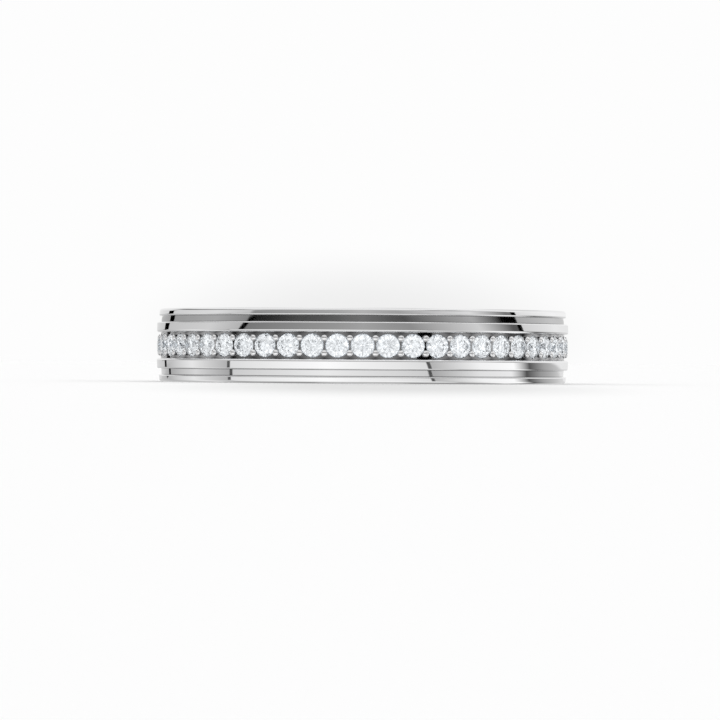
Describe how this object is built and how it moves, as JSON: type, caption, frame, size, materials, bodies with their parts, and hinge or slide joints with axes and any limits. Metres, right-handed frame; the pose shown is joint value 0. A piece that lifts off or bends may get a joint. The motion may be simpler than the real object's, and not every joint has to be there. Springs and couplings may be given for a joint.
{
  "type": "channel set eternity ring",
  "caption": "Polished white metal finger ring with stepped sides and a channel of small round brilliants held by beads all the way round.",
  "frame": {"origin": "middle of the side face that the ring lies on, on the axis of the ring", "axes": "+Z along the axis of the ring, up as it lies; one stone is centred towards -Y, the front"},
  "size_m": [0.0204, 0.0204, 0.0036],
  "materials": {
    "white_gold": "mirror polished",
    "diamond": "polished facets"
  },
  "bodies": {
    "root": {"band": "white_gold", "stones": "diamond"}
  },
  "joints": []
}
